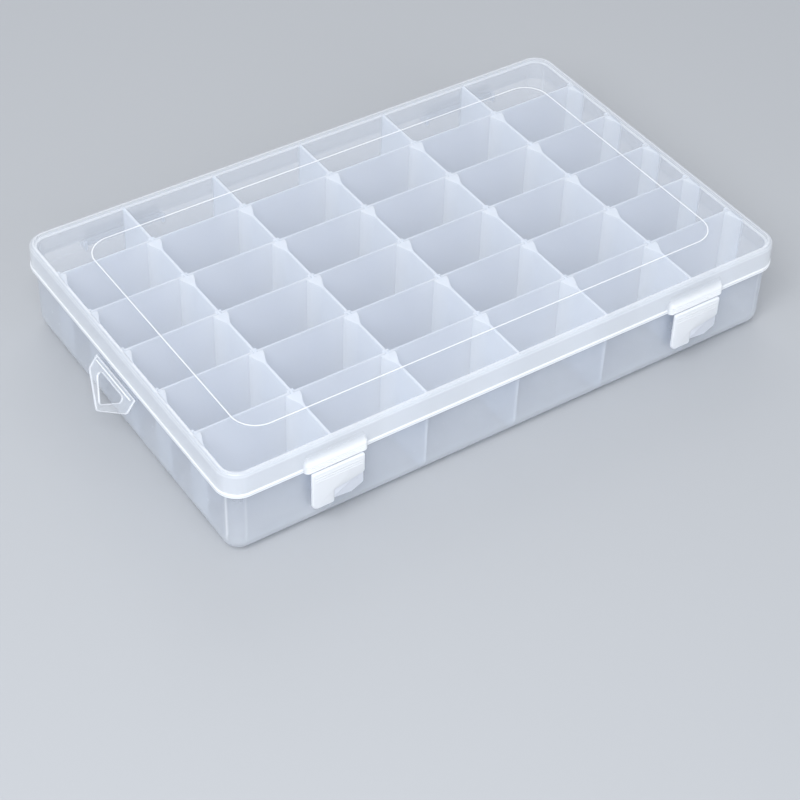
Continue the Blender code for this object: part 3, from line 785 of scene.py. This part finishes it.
def moulding_group():
    """Moulded plastic: slow flow streaks, a satin grain and edges painted whiter, partly for thicker plastic
    and partly as painted highlight, as a colour, a roughness, a height and a mask of the edges."""
    name = "moulded_plastic"
    if name in bpy.data.node_groups:
        return bpy.data.node_groups[name]
    streaks, grain_gloss, grain_height = 0.2, 0.1, 0.05
    group = bpy.data.node_groups.new(name, "ShaderNodeTree")
    colour, number = "NodeSocketColor", "NodeSocketFloat"
    for way, label, kind in (
        ("INPUT", "Tint", colour), ("INPUT", "Gloss", number), ("OUTPUT", "Color", colour),
        ("OUTPUT", "Roughness", number), ("OUTPUT", "Height", number), ("OUTPUT", "Edges", number),
    ):
        group.interface.new_socket(name=label, in_out=way, socket_type=kind)
    given = add_node(group, "NodeGroupInput").outputs
    place = add_node(group, "ShaderNodeTexCoord").outputs["Object"]
    edges = add_node(group, "ShaderNodeAttribute", attribute_name="density_and_painted_highlight").outputs["Fac"]
    flow = noise(group, place, scale=24, detail=3, distortion=1.4)
    grain = noise(group, place, scale=420, detail=2)
    # The density mask blends in the white: painted highlights and painted light as well as thick milky plastic
    amount = maths(group, "ADD", maths(group, "MULTIPLY", flow, streaks), edges)
    add_node(group, "NodeGroupOutput", {
        "Color": colour_mix(group, maths(group, "MINIMUM", amount, 1), given["Tint"], MILKY_AND_HIGHLIGHT_WHITE),
        "Roughness": maths(group, "MULTIPLY_ADD", grain, grain_gloss, given["Gloss"]),
        "Height": maths(group, "MULTIPLY_ADD", grain, grain_height, flow),
        "Edges": edges,
    })
    return group


def plastic(kind):
    """The milky plastic of one kind of piece, with the tint and haze set in the scene. Haze is the share of
    light that one face stops when looked at square on: seen at a slant the plastic is as thick as one over
    the cosine, so the open share is raised to that power, and at its edges less is open still. Glow is the
    share of light that comes through an opaque one from behind."""
    name, looks = f"{kind}_plastic", settings().looks
    if name in bpy.data.materials:
        return bpy.data.materials[name]
    colour, gloss, bump, haze, glow = {
        "lid": (looks.lid_tint, 0.12, 0.02, looks.lid_haze, 0),
        "tray": (looks.tray_tint, 0.2, 0.03, looks.tray_haze, 0),
        "tab": (looks.lid_tint, 0.12, 0.02, looks.tab_haze, 0),
        "wall": (looks.wall_tint, 0.35, 0.05, None, 0.45),
        "divider": (looks.divider_tint, 0.35, 0.05, None, 0.45),
        "latch": (looks.latch_tint, 0.25, 0.03, None, 0.25),
    }[kind]
    material = bpy.data.materials.new(name)
    material.use_nodes = True
    tree, shader = material.node_tree, material.node_tree.nodes["Principled BSDF"]
    values = {"Tint": (*colour, 1), "Gloss": gloss}
    moulding = add_node(tree, "ShaderNodeGroup", values, node_tree=moulding_group()).outputs
    values = {"Strength": bump, "Distance": 0.5 * MM, "Height": moulding["Height"]}
    relief = add_node(tree, "ShaderNodeBump", values).outputs["Normal"]
    values = {"Base Color": moulding["Color"], "Roughness": moulding["Roughness"], "Normal": relief}
    feed(tree, shader, {**values, "IOR": 1.49})
    if haze is not None:
        facing = add_node(tree, "ShaderNodeLayerWeight").outputs["Facing"]
        slant = maths(tree, "DIVIDE", 1, maths(tree, "SUBTRACT", GRAZING_LIMIT, facing))
        open_share = maths(tree, "POWER", 1 - haze, slant)
        open_share = maths(tree, "MULTIPLY", open_share, maths(tree, "SUBTRACT", 1, moulding["Edges"]))
        feed(tree, shader, {"Alpha": maths(tree, "SUBTRACT", 1, open_share)})
    if glow:
        through = add_node(tree, "ShaderNodeBsdfTranslucent", {"Color": (*colour, 1)})
        mix = add_node(tree, "ShaderNodeMixShader", {0: glow, 1: shader.outputs[0], 2: through.outputs[0]})
        feed(tree, tree.nodes["Material Output"], {"Surface": mix.outputs[0]})
    return material


# Operators

class BuildTray(bpy.types.Operator):
    """Builds the tray with its moulded walls, guides, hinge lugs, pins, catches and shelf"""
    bl_idname = "organizer.tray"
    bl_label = "Tray"

    def execute(self, context):
        box = settings()
        tray, hinge, latch, tab = box.tray, box.hinge, box.latch, box.tab
        shell = plastic("tray")
        make_piece("tray_shell", [tray_shell(tray)], "tray", shell, ["base_tray"])
        inner = plastic("wall")
        for number, middle in enumerate(wall_places(tray), 1):
            make_piece(f"moulded_wall_{number}", [moulded_wall(tray, middle)], "tray", inner)
        for name, side in (("left", -1), ("right", 1)):
            make_piece(f"guide_ribs_{name}", side_guides(tray, side), "tray", inner)
        for name, middle in fitting_places(tray).items():
            reach = hinge.width / 2 - hinge.lug_width / 2
            lug = lug_outline(tray, hinge)
            pin = arc((hinge.axis_y, hinge.axis_z), hinge.pin, 0, 2 * pi, steps=24)[:-1]
            solids = [along_x(middle + end * reach, lug, hinge.lug_width, tray.edge) for end in (-1, 1)]
            solids.append(along_x(middle, pin, 2 * reach, tray.edge))
            make_piece(f"hinge_pin_{name}", solids, "tray", inner)
            catch = along_x(middle, catch_outline(tray, latch), latch.catch_width, edge=0.25 * MM)
            make_piece(f"catch_rib_{name}", [catch], "tray", shell)
        low, high = tab.centre_y - tab.width / 2, tab.centre_y + tab.width / 2
        shelf = carry(shelf_outline(tray, tab), "Y", low, high, edge=0.15 * MM)
        make_piece("tab_shelf", [shelf], "tray", shell)
        return {"FINISHED"}


class BuildDividers(bpy.types.Operator):
    """Builds the loose dividers in their guides"""
    bl_idname = "organizer.dividers"
    bl_label = "Dividers"

    def execute(self, context):
        tray = settings().tray
        plate = divider_solid(tray)
        pitch = tray.cell_length + tray.fixed_wall
        material = plastic("divider")
        for row, y in enumerate(row_places(tray), 1):
            for column in range(1, tray.columns + 1):
                x = (column - (tray.columns + 1) / 2) * pitch
                name = f"divider_row{row}_col{column}"
                placed = shifted(plate, (x, y, 0))
                make_piece(f"plate_{name}", [placed], "tray", material, [name])
        return {"FINISHED"}


class BuildLid(bpy.types.Operator):
    """Builds the lid with its bead, skirt, hem, latch bosses and hinge clips"""
    bl_idname = "organizer.lid"
    bl_label = "Lid"

    def execute(self, context):
        box = settings()
        lid, hinge = box.lid, box.hinge
        material = plastic("lid")
        fittings = fitting_places(box.tray)
        shell = lid_shell(lid, hinge, list(fittings.values()))
        make_piece("lid_shell", [shell], "lid", material, ["lid"])
        clip_width = hinge.width - 2 * (hinge.lug_width + hinge.end_gap)
        for name, middle in fittings.items():
            make_piece(f"latch_boss_{name}", [boss_solid(lid, middle)], "lid", material)
            clip = along_x(middle, clip_outline(lid, hinge), clip_width, edge=0.2 * MM)
            make_piece(f"hinge_clip_{name}", [clip], "lid", plastic("wall"))
        return {"FINISHED"}


class BuildLatches(bpy.types.Operator):
    """Builds the two latches"""
    bl_idname = "organizer.latches"
    bl_label = "Latches"

    def execute(self, context):
        box = settings()
        latch = box.latch
        solids = latch_solids(latch)
        for side, middle in fitting_places(box.tray).items():
            name = f"latch_{side}"
            placed = [shifted(solid, (middle, -latch.axis_y, latch.axis_z)) for solid in solids]
            make_piece(f"{name}_plate", placed, name, plastic("latch"), [name])
        return {"FINISHED"}


class BuildHangTab(bpy.types.Operator):
    """Builds the folding hang tab"""
    bl_idname = "organizer.hang_tab"
    bl_label = "Hang tab"

    def execute(self, context):
        solids = tab_solids(settings().tab)
        make_piece("hang_tab_plate", solids, "hang_tab", plastic("tab"), ["hang_tab"])
        return {"FINISHED"}


class BuildStudio(bpy.types.Operator):
    """Sets the floor, the soft lights, the background and the camera"""
    bl_idname = "organizer.studio"
    bl_label = "Studio"

    def execute(self, context):
        looks = settings().looks
        context.scene.view_settings.view_transform = "Standard"
        studio_floor(looks.floor_tint)
        studio_world(looks.backdrop_tint)
        studio_lamps()
        studio_camera()
        return {"FINISHED"}


def studio_floor(colour):
    """A wide level floor just below the tray: a disc as rings of points, radius times cosine and sine. It is
    pale and matt with a faint uneven sheen, and painted paler far out, as painted light where the lamps no
    longer reach."""
    material = bpy.data.materials.new("studio_floor")
    material.use_nodes = True
    tree = material.node_tree
    place = add_node(tree, "ShaderNodeTexCoord").outputs["Object"]
    distance = add_node(tree, "ShaderNodeVectorMath", {0: place}, operation="LENGTH").outputs["Value"]
    values = {"Value": distance, "From Min": 0.35, "From Max": 3.5}
    far = add_node(tree, "ShaderNodeMapRange", values, interpolation_type="SMOOTHSTEP").outputs["Result"]
    values = {"Value": noise(tree, place, scale=3, detail=2), "To Min": 0.7, "To Max": 0.85}
    sheen = add_node(tree, "ShaderNodeMapRange", values).outputs["Result"]
    # Painted light: the floor's colour paler far out where the lamps no longer reach
    painted_far_light = colour_mix(tree, far, (*colour, 1), (0.9, 0.92, 0.95, 1))
    values = {"Base Color": painted_far_light, "Roughness": sheen, "Specular IOR Level": 0.2}
    feed(tree, tree.nodes["Principled BSDF"], values)
    radius = np.array([0.02, 0.5, 1.5, 4.0, 9.0])[:, None]
    j = np.arange(FLOOR_SIDES)
    turn = j / FLOOR_SIDES * 2 * pi
    level = np.full((len(radius), FLOOR_SIDES), -LEAST)
    points = np.stack([radius * np.cos(turn), radius * np.sin(turn), level], -1).reshape(-1, 3)
    after = (j + 1) % FLOOR_SIDES
    inner = np.arange(len(radius) - 1)[:, None] * FLOOR_SIDES
    outer = inner + FLOOR_SIDES
    quads = np.stack([inner + j, outer + j, outer + after, inner + after], -1).reshape(-1, 4)
    add_mesh("studio_floor", points, quads.tolist() + [j.tolist()], material)


def studio_world(colour):
    """An even soft light all round, with the floor's own tone behind for the camera and in reflections."""
    world = bpy.data.worlds.new("studio")
    bpy.context.scene.world = world
    world.use_nodes = True
    tree = world.node_tree
    tree.nodes.clear()
    ambient = add_node(tree, "ShaderNodeBackground", {"Color": (0.95, 0.97, 1.0, 1), "Strength": 0.55})
    backdrop = add_node(tree, "ShaderNodeBackground", {"Color": (*colour, 1), "Strength": 1})
    path = add_node(tree, "ShaderNodeLightPath").outputs
    shown = maths(tree, "MAXIMUM", path["Is Camera Ray"], path["Is Glossy Ray"])
    shown = maths(tree, "MAXIMUM", shown, path["Is Transmission Ray"])
    mix = add_node(tree, "ShaderNodeMixShader", {0: shown, 1: ambient.outputs[0], 2: backdrop.outputs[0]})
    add_node(tree, "ShaderNodeOutputWorld", {"Surface": mix.outputs[0]})


def studio_lamps():
    """Three square soft lights, each turned to the point that it faces."""
    for name, place, width, power, target in (
        ("key_light", (-0.8, -0.65, 1.15), 0.9, 20, (0.03, 0, 0)),
        ("rim_light", (0.7, 1.2, 1.0), 1.2, 6, (0, 0, 0.02)),
        ("low_fill", (0.1, -1.8, 0.6), 1.2, 8, (0, 0, 0.02)),
    ):
        lamp = bpy.data.lights.new(name, "AREA")
        lamp.shape, lamp.size, lamp.energy = "SQUARE", width, power
        item = add_item(name, lamp)
        item.location = place
        item.rotation_euler = (item.location - Vector(target)).to_track_quat("Z", "Y").to_euler()


def studio_camera():
    """A long lens from the front left and above."""
    lens = bpy.data.cameras.new("camera")
    lens.lens, lens.sensor_width = 93.424, 36
    lens.shift_x, lens.shift_y = 0.01403, -0.01945
    camera = add_item("camera", lens)
    camera.location = (-0.39928, -0.57372, 0.59164)
    camera.rotation_euler = [radians(angle) for angle in (47.9755, -1.2144, -33.371)]
    bpy.context.scene.camera = camera


class OrganizerPanel(bpy.types.Panel):
    """Lists the steps that build the organizer box"""
    bl_idname = "VIEW3D_PT_organizer_box"
    bl_label = "Organizer Box"
    bl_space_type = "VIEW_3D"
    bl_region_type = "UI"
    bl_category = "Organizer Box"

    def draw(self, context):
        for step in STEPS:
            self.layout.operator(step.bl_idname, text=step.bl_label)
        for group in ("tray", "lid", "hinge", "latch", "tab", "looks"):
            values = getattr(context.scene.organizer_box, group)
            column = self.layout.column(align=True)
            column.label(text=group.capitalize())
            for value in values.__annotations__:
                column.prop(values, value)


GROUPS = (TraySizes, LidSizes, HingeSizes, LatchSizes, TabSizes, PlasticLooks, BoxSettings)
STEPS = (BuildTray, BuildDividers, BuildLid, BuildLatches, BuildHangTab, BuildStudio)


def register():
    """Adds the settings, the steps and the panel."""
    for item in (*GROUPS, *STEPS, OrganizerPanel):
        bpy.utils.register_class(item)
    bpy.types.Scene.organizer_box = PointerProperty(type=BoxSettings)


def unregister():
    """Takes them away."""
    del bpy.types.Scene.organizer_box
    for item in reversed((*GROUPS, *STEPS, OrganizerPanel)):
        bpy.utils.unregister_class(item)


def main():
    """Runs every step."""
    register()
    bpy.ops.organizer.tray()
    bpy.ops.organizer.dividers()
    bpy.ops.organizer.lid()
    bpy.ops.organizer.latches()
    bpy.ops.organizer.hang_tab()
    bpy.ops.organizer.studio()


if __name__ == "__main__":
    main()
